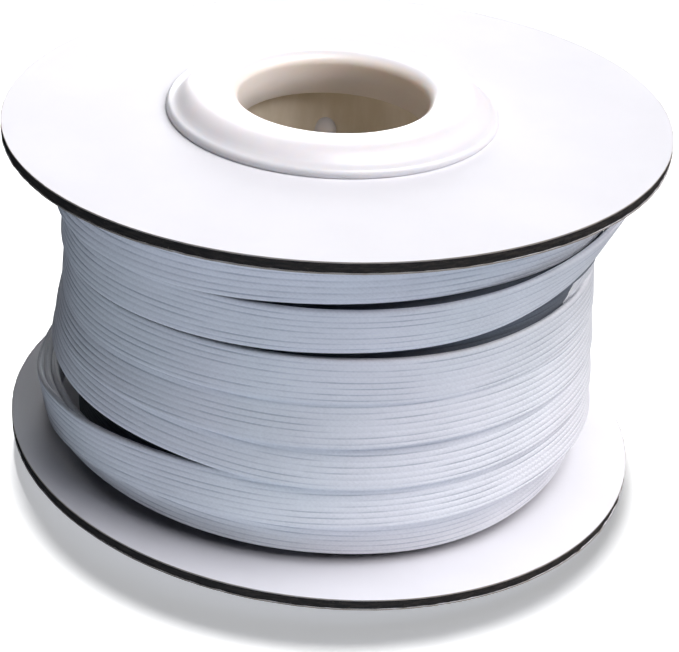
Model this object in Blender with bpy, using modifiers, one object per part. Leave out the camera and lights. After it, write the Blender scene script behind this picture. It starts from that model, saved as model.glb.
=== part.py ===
"""A card spool of white flat braided elastic.

Two round pulp boards are held on a plastic core tube by a flared collar at each end, and the
space between them is filled by a roll of 6 mm wide braided elastic. Everything is one rigid
body that stands on the crest of its lower collar. Metres, +Z up, the origin on the surface
that the spool stands on, under the middle of the boards.
"""
import math

import bmesh
import bpy

MM = 0.001

# Boards: discs with a hole for the collar's spigot, slightly sprung outside the collar.
BOARD_RADIUS = 40.0 * MM
BOARD_THICKNESS = 1.45 * MM
BOARD_HOLE_RADIUS = 13.0 * MM
BOARD_SPACING = 41.25 * MM          # clear height between the two boards
TOP_BOARD_SPRING = 0.64 * MM        # rise of the rim at +X, and its drop at -X
BOTTOM_BOARD_SPRING = -2.2 * MM
SPRING_POWER = 1.5                  # how the bend grows between the collar and the rim
BOARD_RING_RADII = (27.0 * MM, 34.0 * MM)   # rings of vertices that carry the bend

# Hub: the collars, their spigots and the core tube, a little off the boards' middle.
HUB_X = -0.6 * MM
BORE_RADIUS = 11.5 * MM
SPIGOT_RADIUS = 12.7 * MM
SPIGOT_REACH = 5.1 * MM             # from the crest down to the spigot's end
CREST_INNER_RADIUS = 13.2 * MM
CREST_OUTER_RADIUS = 15.4 * MM
CREST_HEIGHT = 2.4 * MM             # above the board's outer face
RIM_RADIUS = 20.0 * MM
RIM_HEIGHT = 1.0 * MM
RIM_ROUND_WIDTH = 0.5 * MM
RIM_ROUND_HEIGHT = 0.4 * MM
COLLAR_SLOPE_STEPS = 3
LIP_DEPTH = 1.2 * MM                # from the crest down to where the bore runs straight
LIP_SHOULDER_WIDTH = 0.5 * MM
LIP_SHOULDER_DEPTH = 0.35 * MM
TUBE_INNER_RADIUS = 13.0 * MM
TUBE_OUTER_RADIUS = 14.5 * MM

GAP = 0.3 * MM                      # between pieces that touch on the real spool
WINDING_INNER_RADIUS = 14.8 * MM
WINDING_MIDDLE_RADIUS = 24.0 * MM   # where the winding's end faces start to follow the bend

BOARD_STEPS = 72
HUB_STEPS = 48
WINDING_SECTIONS = 72
SHARP_ANGLE = math.radians(32.0)

BOTTOM_BOARD_Z = CREST_HEIGHT                                # outer (lower) face
BOTTOM_INNER_Z = BOTTOM_BOARD_Z + BOARD_THICKNESS
TOP_INNER_Z = BOTTOM_INNER_Z + BOARD_SPACING
TOP_BOARD_Z = TOP_INNER_Z + BOARD_THICKNESS                  # outer (upper) face

# The turns that show, top to bottom, in millimetres. Each row gives the height of a turn's
# lower edge on the left (-X), front (-Y), right (+X) and back, the radius of that proud
# lower edge at the same four places, how far the turn's upper edge is tucked in, and the
# height of the open gap under the turn on the left, front, right and back.
TURN_COLUMNS = ("edge_left", "edge_front", "edge_right", "edge_back",
                "radius_left", "radius_front", "radius_right", "radius_back",
                "tuck", "gap_left", "gap_front", "gap_right", "gap_back")
TURNS = (
    (41.0, 42.9, 43.4, 42.2, 33.0, 33.6, 36.2, 33.8, 0.5, 0.1, 0.1, 0.1, 0.1),
    (35.6, 37.8, 39.6, 37.6, 32.9, 33.9, 37.0, 33.8, 0.5, 0.1, 0.7, 0.1, 0.2),
    (31.0, 32.0, 34.6, 32.6, 32.4, 34.0, 35.6, 33.4, 0.5, 0.1, 0.8, 0.3, 0.2),
    (26.2, 26.0, 25.2, 26.4, 32.8, 33.6, 33.8, 33.2, 0.5, 0.1, 0.1, 0.1, 0.1),
    (20.2, 19.3, 17.9, 19.6, 34.0, 34.0, 34.4, 33.6, 0.9, 0.1, 0.1, 0.1, 0.1),
    (15.0, 13.8, 12.2, 13.6, 34.2, 34.3, 34.7, 33.9, 0.9, 1.6, 0.1, 0.1, 0.2),
    (7.6, 8.0, 7.2, 7.8, 36.2, 34.5, 34.6, 34.2, 0.8, 0.1, 0.1, 0.1, 0.1),
)
UPPER_RADIUS = 33.0 * MM            # the last turn against the top board
LOWEST_RADIUS = 33.3 * MM           # the last turn against the bottom board
GAP_DEPTH = 1.3 * MM                # how far an open gap cuts in
WIDE_GAP = 0.6 * MM                 # gaps this high and higher cut in all the way
EDGE_ROUND_HEIGHT = 0.5 * MM        # rounding of a turn's proud lower edge
EDGE_ROUND_WIDTH = 0.25 * MM
TURN_OVERLAP = 0.1 * MM             # a turn's upper edge starts this far below the gap
LOWEST_STEP = 0.4 * MM              # from the last proud edge down to the tucked turn
LOWEST_TAPER = 0.2 * MM


def clear_scene():
    for old in list(bpy.data.objects):
        bpy.data.objects.remove(old, do_unlink=True)


def new_collection(name):
    collection = bpy.data.collections.new(name)
    bpy.context.scene.collection.children.link(collection)
    return collection


def make_material(name, color, roughness, metallic=0.0):
    material = bpy.data.materials.new(name)
    material.use_nodes = True
    shader = material.node_tree.nodes["Principled BSDF"]
    shader.inputs["Base Color"].default_value = (*color, 1.0)
    shader.inputs["Roughness"].default_value = roughness
    shader.inputs["Metallic"].default_value = metallic
    return material


def add_object(collection, name, mesh, material):
    piece = bpy.data.objects.new(name, mesh)
    collection.objects.link(piece)
    mesh.materials.clear()
    mesh.materials.append(material)
    return piece


def turned_mesh(name, profile, steps):
    """A closed (radius, height) outline turned about the Z axis with a Screw modifier."""
    outline = bpy.data.meshes.new(name + "_outline")
    count = len(profile)
    edges = [(i, (i + 1) % count) for i in range(count)]
    outline.from_pydata([(radius, 0.0, height) for radius, height in profile], edges, [])
    blank = bpy.data.objects.new(name + "_outline", outline)
    bpy.context.scene.collection.objects.link(blank)
    screw = blank.modifiers.new("Turn", "SCREW")
    screw.steps = steps
    screw.render_steps = steps
    screw.use_merge_vertices = True
    screw.merge_threshold = 0.00001
    mesh = bpy.data.meshes.new_from_object(blank.evaluated_get(bpy.context.evaluated_depsgraph_get()))
    mesh.name = name
    bpy.data.objects.remove(blank, do_unlink=True)
    return mesh


def shade_round(mesh):
    mesh.shade_smooth()
    mesh.set_sharp_from_angle(angle=SHARP_ANGLE)


def board_reach(radius):
    """Share of the way from the collar's rim (0) to the board's rim (1)."""
    return max(0.0, (radius - RIM_RADIUS) / (BOARD_RADIUS - RIM_RADIUS))


def spring_offset(radius, x_over_radius, rise):
    """Height that the sprung board gains at a place, from its rise at the +X rim."""
    return rise * board_reach(radius) ** SPRING_POWER * x_over_radius


def make_board(collection, name, lower_z, rise, material):
    """A disc turned about the hub, its rim centred on the origin and its face sprung."""
    radii = [BOARD_HOLE_RADIUS, RIM_RADIUS, *BOARD_RING_RADII, BOARD_RADIUS]
    upper_z = lower_z + BOARD_THICKNESS
    profile = [(radius, upper_z) for radius in radii]
    profile += [(radius, lower_z) for radius in reversed(radii)]
    mesh = turned_mesh(name, profile, BOARD_STEPS)
    for vertex in mesh.vertices:
        radius = math.hypot(vertex.co.x, vertex.co.y)
        vertex.co.z += spring_offset(radius, vertex.co.x / radius, rise)
        vertex.co.x += HUB_X * (1.0 - board_reach(radius))
    shade_round(mesh)
    return add_object(collection, name, mesh, material)


def collar_profile():
    """The collar's outline, from its bore lip outward, heights above the board's face."""
    slope_width = RIM_RADIUS - RIM_ROUND_WIDTH - CREST_OUTER_RADIUS
    slope_height = CREST_HEIGHT - RIM_HEIGHT
    slope = []
    for step in range(1, COLLAR_SLOPE_STEPS + 1):
        share = step / COLLAR_SLOPE_STEPS
        fall = (1.0 - math.cos(math.pi * share)) / 2.0
        slope.append((CREST_OUTER_RADIUS + slope_width * share, CREST_HEIGHT - slope_height * fall))
    lip = [(BORE_RADIUS, CREST_HEIGHT - LIP_DEPTH),
           (BORE_RADIUS + LIP_SHOULDER_WIDTH, CREST_HEIGHT - LIP_SHOULDER_DEPTH),
           (CREST_INNER_RADIUS, CREST_HEIGHT),
           (CREST_OUTER_RADIUS, CREST_HEIGHT)]
    under = [(RIM_RADIUS, RIM_HEIGHT - RIM_ROUND_HEIGHT),
             (RIM_RADIUS, GAP),
             (SPIGOT_RADIUS, GAP),
             (SPIGOT_RADIUS, CREST_HEIGHT - SPIGOT_REACH),
             (BORE_RADIUS, CREST_HEIGHT - SPIGOT_REACH)]
    return lip + slope + under


def make_collar(collection, name, face_z, upward, material):
    """A flared collar on the board face at face_z, pointing up or, turned over, down."""
    profile = [(radius, face_z + height) for radius, height in collar_profile()]
    if not upward:
        profile = [(radius, 2.0 * face_z - z) for radius, z in reversed(profile)]
    mesh = turned_mesh(name, profile, HUB_STEPS)
    for vertex in mesh.vertices:
        vertex.co.x += HUB_X
    shade_round(mesh)
    return add_object(collection, name, mesh, material)


def make_core_tube(collection, material):
    lower = BOTTOM_INNER_Z + GAP
    upper = TOP_INNER_Z - GAP
    profile = [(TUBE_INNER_RADIUS, upper), (TUBE_OUTER_RADIUS, upper),
               (TUBE_OUTER_RADIUS, lower), (TUBE_INNER_RADIUS, lower)]
    mesh = turned_mesh("core_tube", profile, HUB_STEPS)
    for vertex in mesh.vertices:
        vertex.co.x += HUB_X
    shade_round(mesh)
    return add_object(collection, "core_tube", mesh, material)


def around(left, front, right, back, angle):
    """Ease between four values, angle measured from the front and growing towards +X."""
    corners = (front, right, back, left)
    turns = (angle / (math.pi / 2.0)) % 4.0
    first = int(turns) % 4
    part = (1.0 - math.cos(math.pi * (turns - int(turns)))) / 2.0
    return corners[first] * (1.0 - part) + corners[(first + 1) % 4] * part


def turn_at(row, angle):
    """Edge height, radius, tuck and gap of one turn at one angle, in metres."""
    turn = dict(zip(TURN_COLUMNS, row))
    places = ("left", "front", "right", "back")
    edge = around(*(turn["edge_" + place] for place in places), angle) * MM
    radius = around(*(turn["radius_" + place] for place in places), angle) * MM
    gap = around(*(turn["gap_" + place] for place in places), angle) * MM
    return edge, radius, turn["tuck"] * MM, gap


def winding_section(angle):
    """The roll's outline at one angle: top face, turns down the outside, bottom face."""
    x_over_radius = math.sin(angle)

    def top_z(radius):
        return TOP_INNER_Z - GAP + spring_offset(radius, x_over_radius, TOP_BOARD_SPRING)

    def bottom_z(radius):
        return BOTTOM_INNER_Z + GAP + spring_offset(radius, x_over_radius, BOTTOM_BOARD_SPRING)

    first_radius, first_tuck = turn_at(TURNS[0], angle)[1:3]
    upper_radius = max(UPPER_RADIUS, first_radius - first_tuck)
    section = [(WINDING_INNER_RADIUS, top_z(WINDING_INNER_RADIUS)),
               (WINDING_MIDDLE_RADIUS, top_z(WINDING_MIDDLE_RADIUS)),
               (upper_radius, top_z(upper_radius))]
    for index, row in enumerate(TURNS):
        edge, radius, tuck, gap = turn_at(row, angle)
        groove = radius - tuck - GAP_DEPTH * min(1.0, gap / WIDE_GAP)
        below = edge - gap
        section.append((radius, edge + EDGE_ROUND_HEIGHT))
        section.append((radius - EDGE_ROUND_WIDTH, edge))
        section.append((groove, below + 0.5 * gap))
        if index + 1 < len(TURNS):
            next_radius, next_tuck = turn_at(TURNS[index + 1], angle)[1:3]
            section.append((next_radius - next_tuck, below - TURN_OVERLAP))
    section.append((LOWEST_RADIUS, turn_at(TURNS[-1], angle)[0] - LOWEST_STEP))
    section.append((LOWEST_RADIUS - LOWEST_TAPER, bottom_z(LOWEST_RADIUS)))
    section.append((WINDING_MIDDLE_RADIUS, bottom_z(WINDING_MIDDLE_RADIUS)))
    section.append((WINDING_INNER_RADIUS, bottom_z(WINDING_INNER_RADIUS)))
    return section


def make_winding(collection, material):
    """The roll of elastic: sections of the wound form, lofted all the way round."""
    shell = bmesh.new()
    rings = []
    for step in range(WINDING_SECTIONS):
        angle = 2.0 * math.pi * step / WINDING_SECTIONS
        ring = [shell.verts.new((HUB_X + radius * math.sin(angle), -radius * math.cos(angle), z))
                for radius, z in winding_section(angle)]
        rings.append(ring)
    for step, ring in enumerate(rings):
        after = rings[(step + 1) % WINDING_SECTIONS]
        count = len(ring)
        for i in range(count):
            j = (i + 1) % count
            shell.faces.new((ring[i], ring[j], after[j], after[i]))
    bmesh.ops.recalc_face_normals(shell, faces=shell.faces)
    mesh = bpy.data.meshes.new("elastic_winding")
    shell.to_mesh(mesh)
    shell.free()
    shade_round(mesh)
    return add_object(collection, "elastic_winding", mesh, material)


def main():
    clear_scene()
    roll = new_collection("roll_of_elastic")
    board_white = make_material("board_paper_white", (0.86, 0.86, 0.88), 0.6)
    hub_white = make_material("hub_plastic_white", (0.82, 0.80, 0.77), 0.35)
    elastic_white = make_material("elastic_white", (0.66, 0.70, 0.76), 0.85)
    make_board(roll, "flange_bottom", BOTTOM_BOARD_Z, BOTTOM_BOARD_SPRING, board_white)
    make_board(roll, "flange_top", TOP_INNER_Z, TOP_BOARD_SPRING, board_white.copy())
    make_collar(roll, "hub_collar_bottom", BOTTOM_BOARD_Z, False, hub_white)
    make_collar(roll, "hub_collar_top", TOP_BOARD_Z, True, hub_white.copy())
    make_core_tube(roll, hub_white.copy())
    make_winding(roll, elastic_white)


main()
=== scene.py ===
import math

import bmesh
import bpy
from mathutils import Matrix, Vector, noise


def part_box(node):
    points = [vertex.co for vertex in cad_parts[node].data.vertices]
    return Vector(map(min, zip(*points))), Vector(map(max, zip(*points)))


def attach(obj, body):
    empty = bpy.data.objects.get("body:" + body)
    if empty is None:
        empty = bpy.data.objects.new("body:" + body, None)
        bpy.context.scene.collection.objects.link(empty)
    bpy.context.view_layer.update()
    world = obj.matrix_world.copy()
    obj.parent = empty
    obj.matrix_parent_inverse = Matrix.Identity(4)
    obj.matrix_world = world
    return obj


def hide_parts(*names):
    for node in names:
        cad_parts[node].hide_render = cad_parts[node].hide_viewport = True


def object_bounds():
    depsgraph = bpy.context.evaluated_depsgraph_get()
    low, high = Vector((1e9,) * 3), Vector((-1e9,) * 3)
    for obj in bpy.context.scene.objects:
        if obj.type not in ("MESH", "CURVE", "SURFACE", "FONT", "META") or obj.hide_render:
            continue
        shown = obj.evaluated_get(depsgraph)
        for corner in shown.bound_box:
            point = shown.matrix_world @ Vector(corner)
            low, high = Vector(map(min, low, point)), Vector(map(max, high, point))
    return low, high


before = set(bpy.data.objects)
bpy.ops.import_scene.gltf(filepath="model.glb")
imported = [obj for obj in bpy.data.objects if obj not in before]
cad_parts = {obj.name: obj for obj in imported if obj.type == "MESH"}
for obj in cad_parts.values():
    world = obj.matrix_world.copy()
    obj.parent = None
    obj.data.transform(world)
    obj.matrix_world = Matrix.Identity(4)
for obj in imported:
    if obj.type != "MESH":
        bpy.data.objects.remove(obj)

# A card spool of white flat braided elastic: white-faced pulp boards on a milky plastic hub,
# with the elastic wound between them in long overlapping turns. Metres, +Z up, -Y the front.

CAD_LOW, CAD_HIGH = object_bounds()

MM = 0.001

# ---------------------------------------------------------------- sizes read from the frame
COLLAR_LOW, COLLAR_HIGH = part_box("hub_collar_top")
TUBE_LOW, TUBE_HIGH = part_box("core_tube")
BOARD_LOW, BOARD_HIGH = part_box("flange_top")

HUB_X = (COLLAR_LOW.x + COLLAR_HIGH.x) / 2          # the hub's axis
HUB_Y = (COLLAR_LOW.y + COLLAR_HIGH.y) / 2
RIM_RADIUS = (COLLAR_HIGH.x - COLLAR_LOW.x) / 2
BOARD_RADIUS = (BOARD_HIGH.x - BOARD_LOW.x) / 2
TOP_CREST_Z = COLLAR_HIGH.z
TUBE_OUTER_RADIUS = (TUBE_HIGH.x - TUBE_LOW.x) / 2
GAP = 0.3 * MM                                      # air that the solids keep between pieces
BOTTOM_INNER_Z = TUBE_LOW.z - GAP                   # upper face of the bottom board
TOP_INNER_Z = TUBE_HIGH.z + GAP                     # lower face of the top board
CREST_HEIGHT = 2.4 * MM                             # of a collar above its board's outer face
TOP_OUTER_Z = TOP_CREST_Z - CREST_HEIGHT
BOTTOM_OUTER_Z = CAD_LOW.z + CREST_HEIGHT
BOARD_THICKNESS = TOP_OUTER_Z - TOP_INNER_Z
TOP_SPRING = 0.64 * MM                              # rise of a board's rim at +X
BOTTOM_SPRING = -2.2 * MM
SPRING_POWER = 1.5
BOARD_HOLE_RADIUS = 13.0 * MM
BORE_RADIUS = 11.5 * MM
SPIGOT_RADIUS = 12.7 * MM
SPIGOT_REACH = 5.1 * MM
TUBE_INNER_RADIUS = 13.0 * MM
NUB_RADIUS = 1.5 * MM               # the moulding gate's stub, inside the tube
NUB_SINK = 0.2 * MM                 # of its middle into the tube's wall
NUB_FLATNESS = 0.6
NUB_TALLNESS = 1.3
NUB_DROP = 10.9 * MM                # below the top collar's crest
NUB_PLACE = 184                     # degrees round from the front towards +X

# ---------------------------------------------------------------- the braid and its path
BRAID_WIDTH = 5.9 * MM
BRAID_THICKNESS = 0.9 * MM
BRAID_RIBS = 8
RIB_DEPTH = 0.10                    # share of the half thickness that a groove cuts in
STEPS_PER_TURN = 270
INNER_STEPS_PER_TURN = 120

# Where each turn's middle runs, going round from the back over the left side (-90), the
# front (0) and the right side (90). Heights and outer radii in millimetres, leans in degrees:
# a lean above 0 puts the lower edge further out than the upper one.
# Each row is a turn, and each column is a station, in degrees.
STATIONS = (-180, -90, -60, -30, 0, 30, 60, 90)

# The layer that falls as it goes round, from the middle of the roll to the bottom board. Its
# first row is a lead tucked in under the next turn. The tape ends part-way round its last row.
FALLING_HEIGHTS = (
    (29.6, 29.6, 29.6, 29.6, 29.6, 29.6, 29.6, 29.6),   # lead, under the next turn
    (29.5, 28.1, 27.7, 28.2, 28.2, 27.85, 27.9, 27.2),  # middle turn
    (25.2, 22.8, 22.5, 23.0, 22.7, 22.7, 22.3, 21.9),   # second
    (20.6, 19.2, 19.0, 18.8, 17.5, 17.2, 17.5, 16.6),   # third
    (13.2, 8.6, 10.9, 12.4, 12.3, 12.2, 12.5, 12.0),    # fourth, stands off
    (11.2, 9.2, 9.9, 8.85, 7.9, 7.4, 8.1, 8.9),         # fifth, lowest that shows
    (9.2, 9.2, 9.9, 9.0, 8.6, 8.4, 8.7, 9.0),           # tail, under the fifth
)
FALLING_RADII = (
    (31.0, 31.0, 31.0, 31.0, 31.0, 31.0, 31.2, 31.5),  # lead, under the next turn
    (32.8, 32.4, 32.9, 33.3, 33.4, 33.5, 33.5, 33.5),  # middle turn
    (33.4, 33.0, 33.3, 33.6, 33.7, 33.8, 33.9, 33.9),  # second
    (33.8, 33.6, 33.8, 34.0, 34.0, 34.1, 34.2, 34.3),  # third
    (34.4, 35.6, 35.3, 34.6, 34.3, 34.4, 34.5, 34.6),  # fourth, stands off
    (34.0, 35.0, 34.7, 33.8, 33.4, 33.6, 33.5, 33.3),  # fifth, lowest that shows
    (33.0, 34.1, 33.8, 32.8, 32.2, 32.0, 32.0, 32.0),  # tail, under the fifth
)
FALLING_LEANS = (
    (0, 0, 0, 0, 0, 0, 0, 0),         # lead, under the next turn
    (6, 4, 6, 7, 3, 3, 5, 6),         # middle turn
    (9, 12, 13, 12, 12, 10, 8, 8),    # second
    (9, 12, 10, 10, 11, 10, 9, 8),    # third
    (6, -12, -3, 5, 9, 9, 8, 8),      # fourth, stands off
    (2, -6, -5, -5, -5, -5, -4, -2),  # fifth, lowest that shows
    (0, -4, -4, -4, 0, 0, 0, 0),      # tail, under the fifth
)
FALLING_ENDS = (80, 2110)           # where the tape starts and stops, in degrees from the front

# The layer that climbs over it, from behind the middle turn to the top board.
RISING_HEIGHTS = (
    (27.9, 27.7, 27.5, 26.5, 25.6, 24.8, 27.3, 33.2),  # lead, behind the middle turn
    (34.0, 33.8, 33.7, 34.3, 34.8, 35.4, 37.5, 38.9),  # upper turn
    (38.9, 38.9, 39.5, 40.2, 41.0, 41.2, 41.1, 41.6),  # top turn
    (42.0, 41.6, 41.7, 41.8, 41.9, 41.9, 41.9, 41.9),  # tail, under the top board
)
RISING_RADII = (
    (31.4, 31.3, 31.2, 31.2, 31.2, 31.3, 32.2, 33.6),  # lead, behind the middle turn
    (33.6, 32.5, 32.9, 33.3, 34.0, 34.4, 35.4, 36.2),  # upper turn
    (34.4, 32.9, 33.4, 33.8, 33.9, 33.8, 35.2, 36.1),  # top turn
    (32.6, 31.9, 32.3, 32.7, 32.8, 32.8, 32.8, 32.8),  # tail, under the top board
)
RISING_LEANS = (
    (0, 0, 0, 0, 0, 0, 0, -4),         # lead, behind the middle turn
    (-2, 4, 4, 2, -8, -12, -24, -28),  # upper turn
    (-4, 8, 9, 8, 0, -4, -18, -23),    # top turn
    (0, 0, 0, 0, 0, 0, 0, 0),          # tail, under the top board
)
RISING_ENDS = (-60, 1090)           # the same for this tape


# ---------------------------------------------------------------- small helpers
def new_object(name, data):
    piece = bpy.data.objects.new(name, data)
    bpy.context.scene.collection.objects.link(piece)
    return piece


def as_mesh(piece):
    """The piece as its modifiers show it, as a plain mesh under the same name."""
    depsgraph = bpy.context.evaluated_depsgraph_get()
    mesh = bpy.data.meshes.new_from_object(piece.evaluated_get(depsgraph))
    name = piece.name
    bpy.data.objects.remove(piece, do_unlink=True)
    mesh.name = name
    return new_object(name, mesh)


def finish_piece(piece, replaced=None):
    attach(piece, "root")
    if replaced:
        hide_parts(replaced)


def spring_offset(radius, x_over_radius, rise):
    """Height that a sprung board gains at a place, from its rise at the +X rim."""
    reach = max(0.0, (radius - RIM_RADIUS) / (BOARD_RADIUS - RIM_RADIUS))
    return rise * reach ** SPRING_POWER * x_over_radius


def turned_mesh(name, profile, steps):
    """A closed (radius, height) outline turned about the Z axis, its faces pointing out."""
    shell = bmesh.new()
    rings = []
    for step in range(steps):
        angle = 2 * math.pi * step / steps
        along, aside = math.cos(angle), math.sin(angle)
        rings.append([shell.verts.new((r * along, r * aside, z)) for r, z in profile])
    count = len(profile)
    for step, ring in enumerate(rings):
        after = rings[(step + 1) % steps]
        for i in range(count):
            j = (i + 1) % count
            shell.faces.new((ring[i], ring[j], after[j], after[i]))
    bmesh.ops.recalc_face_normals(shell, faces=shell.faces)
    mesh = bpy.data.meshes.new(name)
    shell.to_mesh(mesh)
    shell.free()
    return mesh


def shade_round(mesh, degrees=35):
    mesh.shade_smooth()
    mesh.set_sharp_from_angle(angle=math.radians(degrees))


# ---------------------------------------------------------------- node shorthand
def link(tree, value, socket):
    """Feed a socket from another socket, or set it to a constant."""
    if isinstance(value, bpy.types.NodeSocket):
        tree.links.new(value, socket)
    else:
        socket.default_value = value


def calc(tree, operation, *values):
    """A Math node of either kind of tree; returns its result."""
    node = tree.nodes.new("ShaderNodeMath")
    node.operation = operation
    for value, socket in zip(values, node.inputs):
        link(tree, value, socket)
    return node.outputs[0]


def mix_color(tree, share, first, second, blend="MIX"):
    node = tree.nodes.new("ShaderNodeMix")
    node.data_type = "RGBA"
    node.blend_type = blend
    link(tree, share, node.inputs["Factor"])
    link(tree, first, node.inputs["A"])
    link(tree, second, node.inputs["B"])
    return node.outputs["Result"]


def ramp(tree, value, low, high, to_low=0.0, to_high=1.0):
    node = tree.nodes.new("ShaderNodeMapRange")
    node.interpolation_type = "SMOOTHSTEP"
    link(tree, value, node.inputs["Value"])
    node.inputs["From Min"].default_value = low
    node.inputs["From Max"].default_value = high
    node.inputs["To Min"].default_value = to_low
    node.inputs["To Max"].default_value = to_high
    return node.outputs["Result"]


def noise_at(tree, vector, scale, detail=3.0, roughness=0.5):
    node = tree.nodes.new("ShaderNodeTexNoise")
    link(tree, vector, node.inputs["Vector"])
    node.inputs["Scale"].default_value = scale
    node.inputs["Detail"].default_value = detail
    node.inputs["Roughness"].default_value = roughness
    return node.outputs["Fac"]


def bump(tree, height, strength, distance):
    node = tree.nodes.new("ShaderNodeBump")
    node.inputs["Strength"].default_value = strength
    node.inputs["Distance"].default_value = distance
    link(tree, height, node.inputs["Height"])
    return node.outputs["Normal"]


def new_material(name):
    material = bpy.data.materials.new(name)
    material.use_nodes = True
    return material, material.node_tree, material.node_tree.nodes["Principled BSDF"]


def object_place(tree):
    return tree.nodes.new("ShaderNodeTexCoord").outputs["Object"]


def parts_of(tree, vector):
    """The X, Y and Z outputs of a vector."""
    split = tree.nodes.new("ShaderNodeSeparateXYZ")
    link(tree, vector, split.inputs["Vector"])
    return split.outputs


def from_axis(tree, x, y):
    """Distance of a place from the Z axis."""
    squares = calc(tree, "ADD", calc(tree, "POWER", x, 2.0), calc(tree, "POWER", y, 2.0))
    return calc(tree, "SQRT", squares)


# ---------------------------------------------------------------- finishes
WHITE = (1.0, 1.0, 1.0, 1)
GROOVE_PATCH = 14.0 * MM            # length over which a groove opens or closes
STITCH_LENGTH = 0.62 * MM
CHEVRON_SLOPE = 1.7
SHADE_STARTS_Y = 14.0 * MM          # the inner turns' painted shade sets in from here to the front
SHADE_FULL_Y = -6.0 * MM


def braided_elastic(name, shade):
    """White braid: ribs of crossed yarn along its length, with painted shade darkening the grooves
    between them.

    The shade argument is painted shade over its front half. It is white for the outer turns, and dark
    for the inner ones.
    """
    material, tree, shader = new_material(name)
    along = tree.nodes.new("ShaderNodeAttribute")
    along.attribute_name = "along"
    across = tree.nodes.new("ShaderNodeAttribute")
    across.attribute_name = "across"
    place = object_place(tree)
    rib = calc(tree, "MULTIPLY", across.outputs["Fac"], float(BRAID_RIBS))
    in_rib = calc(tree, "FRACT", rib)
    from_middle = calc(tree, "ABSOLUTE", calc(tree, "SUBTRACT", in_rib, 0.5))
    groove = ramp(tree, from_middle, 0.30, 0.5)
    # the grooves, both their bump and their painted shade, open and close along the tape, each one by
    # itself
    spread = tree.nodes.new("ShaderNodeCombineXYZ")
    link(tree, calc(tree, "MULTIPLY", along.outputs["Fac"], 1.0 / GROOVE_PATCH), spread.inputs["X"])
    link(tree, calc(tree, "ROUND", rib), spread.inputs["Y"])
    uneven = ramp(tree, noise_at(tree, spread.outputs["Vector"], 1.0, 3.0), 0.38, 0.64)
    groove = calc(tree, "MULTIPLY", groove, calc(tree, "ADD", calc(tree, "MULTIPLY", uneven, 0.9), 0.1))
    # chevron stitches: each rib's yarns cross and point along the tape
    stitch = calc(tree, "MULTIPLY", along.outputs["Fac"], 1.0 / STITCH_LENGTH)
    chevron = calc(tree, "ADD", stitch, calc(tree, "MULTIPLY", from_middle, CHEVRON_SLOPE))
    yarn = calc(tree, "ABSOLUTE", calc(tree, "SINE", calc(tree, "MULTIPLY", chevron, math.pi)))
    fibre = noise_at(tree, place, 2600.0, 4.0, 0.65)
    wear = noise_at(tree, place, 130.0, 3.0)
    hue = ramp(tree, noise_at(tree, place, 45.0, 2.0), 0.35, 0.65)
    white = mix_color(tree, hue, (0.92, 0.94, 0.97, 1), (0.95, 0.94, 0.98, 1))
    # painted shade: the grooves between the ribs are darkened towards a blue-grey
    tone = mix_color(tree, calc(tree, "MULTIPLY", groove, 0.62), white, (0.40, 0.43, 0.51, 1))
    dim = calc(tree, "ADD", calc(tree, "MULTIPLY", yarn, 0.03), calc(tree, "MULTIPLY", fibre, 0.20))
    dim = calc(tree, "ADD", dim, calc(tree, "MULTIPLY", wear, 0.16))
    dim = calc(tree, "ADD", dim, 0.79)
    grey = tree.nodes.new("ShaderNodeCombineColor")
    for socket in grey.inputs[:3]:
        link(tree, dim, socket)
    tone = mix_color(tree, 1.0, tone, grey.outputs["Color"], "MULTIPLY")
    # painted shade: full in front of the axis, fading to none towards the back
    behind = ramp(tree, parts_of(tree, place)["Y"], SHADE_FULL_Y, SHADE_STARTS_Y)
    tone = mix_color(tree, 1.0, tone, mix_color(tree, behind, shade, WHITE), "MULTIPLY")
    link(tree, tone, shader.inputs["Base Color"])
    height = calc(tree, "SUBTRACT", calc(tree, "MULTIPLY", yarn, 0.12),
                  calc(tree, "MULTIPLY", groove, 0.7))
    height = calc(tree, "ADD", height, calc(tree, "MULTIPLY", fibre, 0.5))
    link(tree, bump(tree, height, 0.6, 0.10 * MM), shader.inputs["Normal"])
    shader.inputs["Roughness"].default_value = 0.82
    shader.inputs["Sheen Weight"].default_value = 0.15
    shader.inputs["Sheen Roughness"].default_value = 0.5
    shader.inputs["Specular IOR Level"].default_value = 0.3
    return material


def white_paper():
    """The boards' paper face: clean white, a faint mottle, and a buff cut edge at the rim."""
    material, tree, shader = new_material("white board paper")
    place = object_place(tree)
    mottle = noise_at(tree, place, 90.0, 4.0)
    fibre = noise_at(tree, place, 1500.0, 4.0, 0.6)
    tone = mix_color(tree, ramp(tree, mottle, 0.35, 0.7),
                     (0.735, 0.73, 0.77, 1), (0.755, 0.75, 0.79, 1))
    split = parts_of(tree, place)
    edge = ramp(tree, from_axis(tree, split["X"], split["Y"]),
                BOARD_RADIUS - 0.10 * MM, BOARD_RADIUS - 0.03 * MM)
    tone = mix_color(tree, edge, tone, (0.34, 0.30, 0.26, 1))
    link(tree, tone, shader.inputs["Base Color"])
    link(tree, bump(tree, fibre, 0.12, 0.05 * MM), shader.inputs["Normal"])
    shader.inputs["Roughness"].default_value = 0.55
    shader.inputs["Specular IOR Level"].default_value = 0.35
    return material


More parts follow.
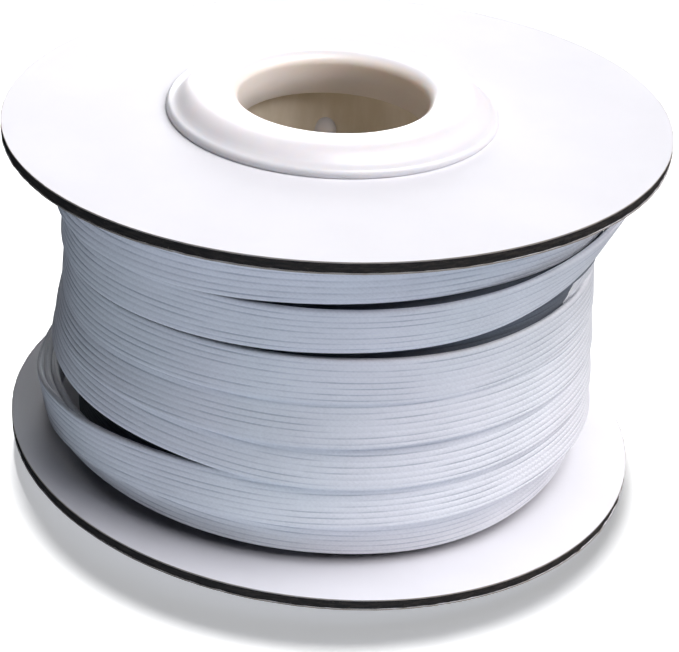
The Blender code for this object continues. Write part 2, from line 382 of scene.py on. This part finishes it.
def raw_pulp():
    """The boards' dark cut edge: layered black-brown pulp with loose paler fibres."""
    material, tree, shader = new_material("dark pulp edge")
    place = object_place(tree)
    stretch = tree.nodes.new("ShaderNodeMapping")
    stretch.inputs["Scale"].default_value = (1.0, 1.0, 5.0)
    link(tree, place, stretch.inputs["Vector"])
    layers = noise_at(tree, stretch.outputs["Vector"], 700.0, 5.0, 0.65)
    specks = noise_at(tree, place, 2200.0, 3.0, 0.6)
    tone = mix_color(tree, ramp(tree, layers, 0.38, 0.72),
                     (0.007, 0.0055, 0.005, 1), (0.036, 0.028, 0.022, 1))
    tone = mix_color(tree, ramp(tree, specks, 0.66, 0.80), tone, (0.13, 0.10, 0.075, 1))
    link(tree, tone, shader.inputs["Base Color"])
    link(tree, bump(tree, calc(tree, "ADD", layers, specks), 0.8, 0.12 * MM), shader.inputs["Normal"])
    shader.inputs["Roughness"].default_value = 0.85
    return material


def milky_plastic():
    """Moulded hub plastic: milky and a little see-through, warmer down inside the bore."""
    material, tree, shader = new_material("milky hub plastic")
    place = object_place(tree)
    split = parts_of(tree, place)
    x = calc(tree, "SUBTRACT", split["X"], HUB_X)
    y = calc(tree, "SUBTRACT", split["Y"], HUB_Y)
    in_bore = ramp(tree, from_axis(tree, x, y), BORE_RADIUS + 1.3 * MM, BORE_RADIUS + 0.1 * MM)
    cloud = noise_at(tree, place, 220.0, 3.0)
    tone = mix_color(tree, ramp(tree, cloud, 0.3, 0.7), (0.80, 0.765, 0.795, 1), (0.82, 0.785, 0.81, 1))
    tone = mix_color(tree, in_bore, tone, (0.95, 0.84, 0.78, 1))
    link(tree, tone, shader.inputs["Base Color"])
    link(tree, bump(tree, cloud, 0.05, 0.1 * MM), shader.inputs["Normal"])
    shader.inputs["Roughness"].default_value = 0.32
    shader.inputs["Subsurface Weight"].default_value = 0.6
    shader.inputs["Subsurface Radius"].default_value = (1.0, 0.8, 0.65)
    shader.inputs["Subsurface Scale"].default_value = 2.5 * MM
    return material


def bore_plastic():
    """The core tube, seen down the bore: the same plastic, warm beige with streaks along the tube."""
    material, tree, shader = new_material("core tube plastic")
    place = object_place(tree)
    streak = tree.nodes.new("ShaderNodeMapping")
    streak.inputs["Scale"].default_value = (1.0, 1.0, 0.25)
    link(tree, place, streak.inputs["Vector"])
    warm_streaks = noise_at(tree, streak.outputs["Vector"], 300.0, 4.0)
    tone = mix_color(tree, ramp(tree, warm_streaks, 0.3, 0.75), (0.74, 0.66, 0.52, 1), (0.90, 0.83, 0.72, 1))
    link(tree, tone, shader.inputs["Base Color"])
    link(tree, bump(tree, warm_streaks, 0.08, 0.1 * MM), shader.inputs["Normal"])
    shader.inputs["Roughness"].default_value = 0.25
    return material


# ---------------------------------------------------------------- boards
def bend_board(mesh, rise):
    """Centre the rim on the origin and spring the board, as its solid is."""
    for vertex in mesh.vertices:
        radius = math.hypot(vertex.co.x, vertex.co.y)
        reach = min(1.0, max(0.0, (radius - RIM_RADIUS) / (BOARD_RADIUS - RIM_RADIUS)))
        vertex.co.z += spring_offset(min(radius, BOARD_RADIUS), vertex.co.x / radius, rise)
        vertex.co.x += HUB_X * (1.0 - reach)


def roughen_rim(mesh, amount, seed):
    """A cut edge that wanders a little in and out along the rim."""
    for vertex in mesh.vertices:
        radius = math.hypot(vertex.co.x, vertex.co.y)
        if radius < BOARD_RADIUS - 1.0 * MM:
            continue
        spot = Vector((vertex.co.x * 900.0, vertex.co.y * 900.0, vertex.co.z * 1400.0 + seed))
        wander = noise.noise(spot) + 0.6 * noise.noise(spot * 0.16)
        scale = 1.0 + amount * wander / radius
        vertex.co.x *= scale
        vertex.co.y *= scale


LINER = 0.16 * MM                   # thickness of a paper sheet
RIM_STEPS = 420
BOARD_RINGS = 10
EDGE_LAYERS = 5
CORE_INSET = 0.12 * MM              # the core's corners and edge, inside the board's radius
EDGE_INSET = 0.05 * MM
CORE_WANDER = 0.10 * MM             # how far the cut edges wander
SHEET_WANDER = 0.05 * MM


def make_board(name, lower_z, rise, pulp, paper, node):
    """A pulp core with a paper sheet glued on each face."""
    upper_z = lower_z + BOARD_THICKNESS
    reach = BOARD_RADIUS - RIM_RADIUS
    radii = [BOARD_HOLE_RADIUS]
    radii += [RIM_RADIUS + reach * k / BOARD_RINGS for k in range(BOARD_RINGS)]
    core_radii = radii + [BOARD_RADIUS - CORE_INSET]
    core_height = BOARD_THICKNESS - 2 * LINER
    levels = [upper_z - LINER - core_height * k / EDGE_LAYERS for k in range(1, EDGE_LAYERS)]
    profile = [(r, upper_z - LINER) for r in core_radii]
    profile += [(BOARD_RADIUS - EDGE_INSET, z) for z in levels]
    profile += [(r, lower_z + LINER) for r in reversed(core_radii)]
    core = turned_mesh(name + "_core", profile, RIM_STEPS)
    roughen_rim(core, CORE_WANDER, seed=lower_z / MM)
    bend_board(core, rise)
    shade_round(core, 60)
    core.materials.append(pulp)
    finish_piece(new_object(name + "_core", core), node)
    sheets = (("upper", upper_z - LINER, upper_z), ("lower", lower_z, lower_z + LINER))
    for side, low, high in sheets:
        sheet_radii = radii + [BOARD_RADIUS - 0.25 * MM, BOARD_RADIUS - 0.02 * MM]
        profile = [(r, high) for r in sheet_radii] + [(r, low) for r in reversed(sheet_radii)]
        liner = turned_mesh(name + "_paper_" + side, profile, RIM_STEPS)
        roughen_rim(liner, SHEET_WANDER, seed=high / MM)
        bend_board(liner, rise)
        shade_round(liner, 40)
        liner.materials.append(paper)
        finish_piece(new_object(name + "_paper_" + side, liner))


# ---------------------------------------------------------------- hub
def eased(low, high, share):
    return low + (high - low) * (1 - math.cos(math.pi * share)) / 2


LIP_WIDTH = 1.7 * MM                # the rounding from the bore's wall to the crest
LIP_HEIGHT = 1.215 * MM
LIP_STEPS = 8
CREST_OUTER_RADIUS = 15.4 * MM      # where the slope down to the rim starts
SLOPE_FOOT = 1.0 * MM               # height at which it meets the rim's rounding
SLOPE_STEPS = 12
SLOPE_POWER = 1.6
RIM_ROUND = 0.55 * MM
RIM_ROUND_STEPS = 5
SMALL_EDGE = 0.1 * MM
SPIGOT_EDGE = 0.15 * MM
FACE_CLEARANCE = 0.03 * MM          # between the collar and the board's paper
BORE_TAPER = 0.02 * MM


def collar_profile():
    """The collar's outline from the bore outward; heights above the board's outer face."""
    foot = CREST_HEIGHT - SPIGOT_REACH
    outline = [(BORE_RADIUS, foot + SPIGOT_EDGE), (BORE_RADIUS, CREST_HEIGHT - 2.6 * MM),
               (BORE_RADIUS + BORE_TAPER, CREST_HEIGHT - 1.7 * MM)]
    for k in range(LIP_STEPS + 1):
        turn = math.pi / 2 * k / LIP_STEPS
        outline.append((BORE_RADIUS + LIP_WIDTH * (1 - math.cos(turn)) + BORE_TAPER,
                        CREST_HEIGHT - LIP_HEIGHT + LIP_HEIGHT * math.sin(turn)))
    slope_end = RIM_RADIUS - RIM_ROUND
    for k in range(1, SLOPE_STEPS + 1):
        share = k / SLOPE_STEPS
        outline.append((CREST_OUTER_RADIUS + (slope_end - CREST_OUTER_RADIUS) * share,
                        eased(CREST_HEIGHT, SLOPE_FOOT, share ** SLOPE_POWER)))
    for k in range(1, RIM_ROUND_STEPS + 1):
        turn = math.pi / 2 * k / RIM_ROUND_STEPS
        outline.append((slope_end + RIM_ROUND * math.sin(turn),
                        SLOPE_FOOT - RIM_ROUND + RIM_ROUND * math.cos(turn)))
    outline += [(RIM_RADIUS, SMALL_EDGE), (RIM_RADIUS - SMALL_EDGE, FACE_CLEARANCE)]
    outline += [(SPIGOT_RADIUS + SMALL_EDGE, FACE_CLEARANCE), (SPIGOT_RADIUS, -SMALL_EDGE)]
    outline += [(SPIGOT_RADIUS, foot + SPIGOT_EDGE), (SPIGOT_RADIUS - SPIGOT_EDGE, foot)]
    outline += [(BORE_RADIUS + SPIGOT_EDGE, foot)]
    return outline


COLLAR_STEPS = 200
TUBE_STEPS = 160
TUBE_OVERRUN = 0.2 * MM             # the tube's ends reach this far into the gap at each board


def make_collar(name, face_z, direction, plastic, node):
    profile = [(radius, face_z + direction * height) for radius, height in collar_profile()]
    mesh = turned_mesh(name, profile, COLLAR_STEPS)
    mesh.transform(Matrix.Translation((HUB_X, HUB_Y, 0)))
    shade_round(mesh, 50)
    mesh.materials.append(plastic)
    finish_piece(new_object(name, mesh), node)


def make_core_tube(plastic):
    low = TUBE_LOW.z - TUBE_OVERRUN
    high = TUBE_HIGH.z + TUBE_OVERRUN
    profile = [(TUBE_INNER_RADIUS, high), (TUBE_OUTER_RADIUS, high),
               (TUBE_OUTER_RADIUS, low), (TUBE_INNER_RADIUS, low)]
    mesh = turned_mesh("core_tube_wall", profile, TUBE_STEPS)
    mesh.transform(Matrix.Translation((HUB_X, HUB_Y, 0)))
    shade_round(mesh)
    mesh.materials.append(plastic)
    finish_piece(new_object("core_tube_wall", mesh), "core_tube")


def make_gate_nub(plastic):
    """The pale stub of the moulding gate, left on the tube's wall behind the bore."""
    mesh = bpy.data.meshes.new("gate_nub")
    shell = bmesh.new()
    bmesh.ops.create_uvsphere(shell, u_segments=24, v_segments=16, radius=NUB_RADIUS)
    shell.to_mesh(mesh)
    shell.free()
    turn = math.radians(NUB_PLACE)
    reach = TUBE_INNER_RADIUS + NUB_SINK
    mesh.transform(Matrix.Diagonal((1.0, NUB_FLATNESS, NUB_TALLNESS, 1.0)))
    mesh.transform(Matrix.Translation((HUB_X + reach * math.sin(turn), HUB_Y - reach * math.cos(turn),
                                       TOP_CREST_Z - NUB_DROP)))
    shade_round(mesh, 180)
    mesh.materials.append(plastic)
    finish_piece(new_object("gate_nub", mesh))


# ---------------------------------------------------------------- elastic
def through(places, values, place):
    """A smooth line through the values given at growing places (Catmull-Rom)."""
    last = len(places) - 1
    i = 0
    while i < last - 1 and place > places[i + 1]:
        i += 1

    def slope(k):
        before, after = max(0, k - 1), min(last, k + 1)
        return (values[after] - values[before]) / (places[after] - places[before])

    span = places[i + 1] - places[i]
    t = min(1.0, max(0.0, (place - places[i]) / span))
    return (values[i] * (2 * t ** 3 - 3 * t ** 2 + 1) + slope(i) * span * (t ** 3 - 2 * t ** 2 + t)
            + values[i + 1] * (3 * t ** 2 - 2 * t ** 3) + slope(i + 1) * span * (t ** 3 - t ** 2))


def unrolled(rows):
    """Turn after turn of station values, as places in degrees and values along the path."""
    places = [station + 360 * turn for turn in range(len(rows)) for station in STATIONS]
    values = [value for row in rows for value in row]
    return places, values


def path_points(heights, radii, leans, ends):
    """Centre points and leans of the braid between its two ends, which are in degrees."""
    height_line = unrolled(heights)
    radius_line = unrolled(radii)
    lean_line = unrolled(leans)
    first, last = ends
    count = int((last - first) / 360 * STEPS_PER_TURN)
    points = []
    for k in range(count + 1):
        place = first + (last - first) * k / count
        outer = through(*radius_line, place) * MM
        lean = math.radians(through(*lean_line, place))
        radius = outer - BRAID_THICKNESS / 2
        angle = math.radians(place)
        z = through(*height_line, place) * MM
        points.append((HUB_X + radius * math.sin(angle), HUB_Y - radius * math.cos(angle), z, lean))
    return points


def path_curve(name, points):
    data = bpy.data.curves.new(name, "CURVE")
    data.dimensions = "3D"
    data.twist_mode = "Z_UP"
    spline = data.splines.new("POLY")
    spline.points.add(len(points) - 1)
    for point, (x, y, z, lean) in zip(spline.points, points):
        point.co = (x, y, z, 1.0)
        point.tilt = -lean
    return new_object(name, data)


POINTS_PER_RIB = 5
BACK_POINTS = 9


def braid_section(tree, width, thickness, ribs, depth):
    """Fields for the section's points: ribbed outer face down, plain inner face back up."""
    index = tree.nodes.new("GeometryNodeInputIndex").outputs["Index"]
    front_last = calc(tree, "MULTIPLY", ribs, float(POINTS_PER_RIB))
    on_back = calc(tree, "GREATER_THAN", index, front_last)
    down = calc(tree, "DIVIDE", index, front_last)
    up = calc(tree, "DIVIDE", calc(tree, "SUBTRACT", index, front_last), float(BACK_POINTS + 1))
    up = calc(tree, "SUBTRACT", 1.0, up)
    share = calc(tree, "ADD", calc(tree, "MULTIPLY", on_back, up),
                 calc(tree, "MULTIPLY", calc(tree, "SUBTRACT", 1.0, on_back), down))
    centred = calc(tree, "ABSOLUTE", calc(tree, "SUBTRACT", calc(tree, "MULTIPLY", share, 2.0), 1.0))
    body = calc(tree, "SQRT", calc(tree, "SUBTRACT", 1.0, calc(tree, "POWER", centred, 12.0)))
    wave = calc(tree, "ABSOLUTE", calc(tree, "SINE", calc(tree, "MULTIPLY", calc(
        tree, "MULTIPLY", share, ribs), math.pi)))
    cut = calc(tree, "MULTIPLY", calc(tree, "SUBTRACT", 1.0, wave), depth)
    front_x = calc(tree, "MULTIPLY", body, calc(tree, "SUBTRACT", 1.0, cut))
    side = calc(tree, "SUBTRACT", calc(tree, "MULTIPLY", calc(tree, "SUBTRACT", 1.0, on_back), front_x),
                calc(tree, "MULTIPLY", on_back, body))
    x = calc(tree, "MULTIPLY", side, calc(tree, "MULTIPLY", thickness, 0.5))
    y = calc(tree, "MULTIPLY", calc(tree, "SUBTRACT", share, 0.5), width)
    return x, y, share


def capture(tree, geometry, value, name):
    node = tree.nodes.new("GeometryNodeCaptureAttribute")
    node.domain = "POINT"
    node.capture_items.new("FLOAT", name)
    tree.links.new(geometry, node.inputs["Geometry"])
    tree.links.new(value, node.inputs[name])
    return node.outputs["Geometry"], node.outputs[name]


def store(tree, geometry, name, value):
    node = tree.nodes.new("GeometryNodeStoreNamedAttribute")
    node.data_type = "FLOAT"
    node.domain = "POINT"
    node.inputs["Name"].default_value = name
    tree.links.new(geometry, node.inputs["Geometry"])
    tree.links.new(value, node.inputs["Value"])
    return node.outputs["Geometry"]


def braid_tree(material):
    """Geometry Nodes that sweep the ribbed section of the braid along a path curve."""
    tree = bpy.data.node_groups.new("Wind braid along path", "GeometryNodeTree")
    sockets = tree.interface
    sockets.new_socket("Path", in_out="INPUT", socket_type="NodeSocketGeometry")
    sizes = (("Width", BRAID_WIDTH), ("Thickness", BRAID_THICKNESS), ("Rib Depth", RIB_DEPTH))
    for name, size in sizes:
        sockets.new_socket(name, in_out="INPUT", socket_type="NodeSocketFloat").default_value = size
    sockets.new_socket("Ribs", in_out="INPUT", socket_type="NodeSocketInt").default_value = BRAID_RIBS
    sockets.new_socket("Braid", in_out="OUTPUT", socket_type="NodeSocketGeometry")
    given = tree.nodes.new("NodeGroupInput").outputs
    x, y, share = braid_section(tree, given["Width"], given["Thickness"], given["Ribs"],
                                given["Rib Depth"])
    ring = tree.nodes.new("GeometryNodeCurvePrimitiveCircle")
    ring.mode = "RADIUS"
    front_points = calc(tree, "MULTIPLY", given["Ribs"], float(POINTS_PER_RIB))
    points = calc(tree, "ADD", front_points, float(BACK_POINTS + 1))
    tree.links.new(points, ring.inputs["Resolution"])
    ring.inputs["Radius"].default_value = 0.001
    place = tree.nodes.new("ShaderNodeCombineXYZ")
    link(tree, x, place.inputs["X"])
    link(tree, y, place.inputs["Y"])
    shape = tree.nodes.new("GeometryNodeSetPosition")
    tree.links.new(ring.outputs["Curve"], shape.inputs["Geometry"])
    tree.links.new(place.outputs["Vector"], shape.inputs["Position"])
    section, across = capture(tree, shape.outputs["Geometry"], share, "Across")
    length = tree.nodes.new("GeometryNodeSplineParameter").outputs["Length"]
    path, along = capture(tree, given["Path"], length, "Along")
    sweep = tree.nodes.new("GeometryNodeCurveToMesh")
    tree.links.new(path, sweep.inputs["Curve"])
    tree.links.new(section, sweep.inputs["Profile Curve"])
    sweep.inputs["Fill Caps"].default_value = True
    mesh = store(tree, sweep.outputs["Mesh"], "along", along)
    mesh = store(tree, mesh, "across", across)
    smooth = tree.nodes.new("GeometryNodeSetShadeSmooth")
    tree.links.new(mesh, smooth.inputs["Geometry"])
    real = tree.nodes.new("GeometryNodeRealizeInstances")
    tree.links.new(smooth.outputs["Geometry"], real.inputs["Geometry"])
    finish = tree.nodes.new("GeometryNodeSetMaterial")
    finish.inputs["Material"].default_value = material
    tree.links.new(real.outputs["Geometry"], finish.inputs["Geometry"])
    tree.links.new(finish.outputs["Geometry"], tree.nodes.new("NodeGroupOutput").inputs["Braid"])
    return tree


def wind(name, points, tree):
    """The braid along one path, as a plain mesh."""
    path = path_curve(name, points)
    winder = path.modifiers.new("Wind", "NODES")
    winder.node_group = tree
    return as_mesh(path)


INNER_TURNS = 7.0
INNER_RADIUS = 30.95 * MM
INNER_DRIFT = 0.5 * MM              # how far the inner turns lie over towards +X
BOARD_CLEARANCE = 0.15 * MM
SWELL = 1.5 * MM                    # how much fuller the top turns are at the right
SWELL_ENDS = 0.34                   # share of the way down at which the swell has gone
SWELL_FADES = 0.14                  # share of the way down over which it fades out
SWELL_SIDE = 0.3
CORE_INNER_RADIUS = 15.0 * MM
CORE_OUTER_RADIUS = 30.3 * MM
CORE_LOW = 5.6 * MM
CORE_HIGH = 43.6 * MM
CORE_STEPS = 120
# painted shade for the inner turns and the packed core, which show only in the gaps between the outer
# turns
DEEP_SHADE = (0.18, 0.20, 0.23, 1)


def inner_points():
    """Points of the plain turns that lie under the ones that show, from board to board."""
    points = []
    count = int(INNER_TURNS * INNER_STEPS_PER_TURN)
    for k in range(count + 1):
        angle = 2 * math.pi * INNER_TURNS * k / count
        side = math.sin(angle)
        share = k / count
        fade = min(1.0, max(0.0, (SWELL_ENDS - share) / SWELL_FADES))
        swell = SWELL * fade * max(0.0, side + SWELL_SIDE)
        here = INNER_RADIUS + INNER_DRIFT * side + swell
        inset = BRAID_WIDTH / 2 + BOARD_CLEARANCE
        low = BOTTOM_INNER_Z + spring_offset(here, side, BOTTOM_SPRING) + inset
        high = TOP_INNER_Z + spring_offset(here, side, TOP_SPRING) - inset
        z = high + (low - high) * share
        points.append((HUB_X + here * side, HUB_Y - here * math.cos(angle), z, 0.0))
    return points


def make_elastic():
    """Two long tapes that lap over each other, and the turns and core behind them, dark with painted
    shade.
    """
    tree = braid_tree(braided_elastic("braided elastic", WHITE))
    points = path_points(FALLING_HEIGHTS, FALLING_RADII, FALLING_LEANS, FALLING_ENDS)
    falling = wind("elastic_falling_layer", points, tree)
    finish_piece(falling, "elastic_winding")
    points = path_points(RISING_HEIGHTS, RISING_RADII, RISING_LEANS, RISING_ENDS)
    rising = wind("elastic_rising_layer", points, tree)
    finish_piece(rising)
    # the inner turns and the packed core are coloured with painted shade
    shaded = braided_elastic("inner turns in shade", DEEP_SHADE)
    inner = wind("elastic_inner_layer", inner_points(), braid_tree(shaded))
    finish_piece(inner)
    outline = [(CORE_INNER_RADIUS, CORE_HIGH), (CORE_OUTER_RADIUS, CORE_HIGH),
               (CORE_OUTER_RADIUS, CORE_LOW), (CORE_INNER_RADIUS, CORE_LOW)]
    packed = turned_mesh("elastic_wound_core", outline, CORE_STEPS)
    packed.transform(Matrix.Translation((HUB_X, HUB_Y, 0)))
    shade_round(packed)
    packed.materials.append(shaded)
    finish_piece(new_object("elastic_wound_core", packed))


# ---------------------------------------------------------------- stage, light and camera
FLOOR_SIZE = 12.0
FLOOR_DROP = 0.05 * MM
FLOOR_GLOW = 0.38                   # keeps the shadow on the floor a light grey
BACKDROP_RADIUS = 6.0


def make_stage():
    """A pale floor and a plain white backdrop all round, neither of which lights the spool."""
    material, tree, shader = new_material("pale studio floor")
    shader.inputs["Base Color"].default_value = (0.90, 0.90, 0.90, 1)
    shader.inputs["Roughness"].default_value = 0.9
    shader.inputs["Specular IOR Level"].default_value = 0.0
    shader.inputs["Emission Color"].default_value = WHITE
    shader.inputs["Emission Strength"].default_value = FLOOR_GLOW
    bpy.ops.mesh.primitive_plane_add(size=FLOOR_SIZE, location=(0, 0, CAD_LOW.z - FLOOR_DROP))
    floor = bpy.context.object
    floor.name = "studio_floor"
    floor.data.materials.append(material)
    material, tree, shader = new_material("white backdrop")
    shader.inputs["Emission Color"].default_value = WHITE
    shader.inputs["Emission Strength"].default_value = 1.0
    bpy.ops.mesh.primitive_uv_sphere_add(segments=48, ring_count=24, radius=BACKDROP_RADIUS)
    backdrop = bpy.context.object
    backdrop.name = "studio_backdrop"
    backdrop.data.materials.append(material)
    for piece in (floor, backdrop):
        piece.visible_shadow = False
        piece.visible_diffuse = False
        piece.visible_glossy = False
    return floor


def sun(name, azimuth, elevation, spread, strength, color):
    """Even light from one side: azimuth from the front towards +X, all angles in degrees."""
    data = bpy.data.lights.new(name, "SUN")
    data.energy = strength
    data.angle = math.radians(spread)
    data.color = color
    side, rise = math.radians(azimuth), math.radians(elevation)
    level = math.cos(rise)
    towards = Vector((math.sin(side) * level, -math.cos(side) * level, math.sin(rise)))
    lamp = new_object(name, data)
    lamp.rotation_euler = towards.to_track_quat("Z", "Y").to_euler()
    return lamp


def light_only(lamp, pieces, shine):
    """Let a lamp shine on just these pieces, or, with shine False, on all but these."""
    group = bpy.data.collections.new(lamp.name + "_reach")
    for piece in pieces:
        group.objects.link(piece)
    lamp.light_linking.receiver_collection = group
    for member in group.collection_objects:
        member.light_linking.link_state = "INCLUDE" if shine else "EXCLUDE"


def make_lights(floor):
    """Soft light from high on the right, a cool bounce off the table, and the floor's own light."""
    # name, azimuth, elevation, spread, strength, colour
    lamps = [
        sun("key_from_right", 82, 48, 50, 2.5, (1.0, 0.97, 1.0)),
        sun("high_light_right", 78, 76, 24, 1.75, (0.99, 1.0, 1.0)),
        sun("top_light", 250, 80, 30, 0.18, (1.0, 1.0, 1.0)),
        sun("table_bounce_front", 6, -15, 40, 0.8, (0.76, 0.85, 1.0)),
        sun("table_bounce_left", -14, -36, 40, 0.9, (0.76, 0.85, 1.0)),
        sun("back_fill", 184, 6, 30, 1.6, (0.97, 0.98, 1.0)),
    ]
    for lamp in lamps:
        light_only(lamp, [floor], False)
    light_only(sun("floor_top_light", 186, 84, 5, 3.6, (1.0, 1.0, 1.0)), [floor], True)
    world = bpy.data.worlds.new("studio")
    world.use_nodes = True
    sky = world.node_tree.nodes["Background"]
    sky.inputs["Color"].default_value = (0.90, 0.94, 1.0, 1)
    sky.inputs["Strength"].default_value = 0.012
    bpy.context.scene.world = world


CAMERA_ELEVATION = 22.77            # of the camera above the top board's middle, in degrees
CAMERA_DISTANCE = 5.793             # from there, in board radii
CAMERA_PITCH = 29.21                # how far it looks down
CAMERA_YAW = 0.61
CAMERA_ROLL = 3.35
CAMERA_LENS = 101.6


def make_camera():
    """Above and in front of the spool, looking down at it, and rolled a few degrees."""
    elevation = math.radians(CAMERA_ELEVATION)
    distance = CAMERA_DISTANCE * BOARD_RADIUS
    pitch = math.radians(CAMERA_PITCH)
    yaw = math.radians(CAMERA_YAW)
    roll = math.radians(CAMERA_ROLL)
    ahead = math.cos(pitch)
    forward = Vector((math.sin(yaw) * ahead, math.cos(yaw) * ahead, -math.sin(pitch)))
    right = forward.cross(Vector((0, 0, 1))).normalized()
    up = right.cross(forward)
    rolled_right = right * math.cos(roll) + up * math.sin(roll)
    rolled_up = up * math.cos(roll) - right * math.sin(roll)
    data = bpy.data.cameras.new("camera")
    data.sensor_width = 36.0
    data.lens = CAMERA_LENS
    data.clip_start = 0.01
    data.clip_end = 20.0
    camera = new_object("camera", data)
    place = Vector((HUB_X, HUB_Y - distance * math.cos(elevation),
                    TOP_OUTER_Z + distance * math.sin(elevation)))
    turn = Matrix((rolled_right, rolled_up, -forward)).transposed().to_4x4()
    camera.matrix_world = Matrix.Translation(place) @ turn
    bpy.context.scene.camera = camera


def main():
    paper = white_paper()
    pulp = raw_pulp()
    plastic = milky_plastic()
    make_board("top_board", TOP_INNER_Z, TOP_SPRING, pulp, paper, "flange_top")
    make_board("bottom_board", BOTTOM_OUTER_Z, BOTTOM_SPRING, pulp, paper, "flange_bottom")
    make_collar("top_collar", TOP_OUTER_Z, 1, plastic, "hub_collar_top")
    make_collar("bottom_collar", BOTTOM_OUTER_Z, -1, plastic, "hub_collar_bottom")
    make_core_tube(bore_plastic())
    make_gate_nub(plastic)
    make_elastic()
    make_lights(make_stage())
    make_camera()
    bpy.context.scene.view_settings.view_transform = "Standard"


main()
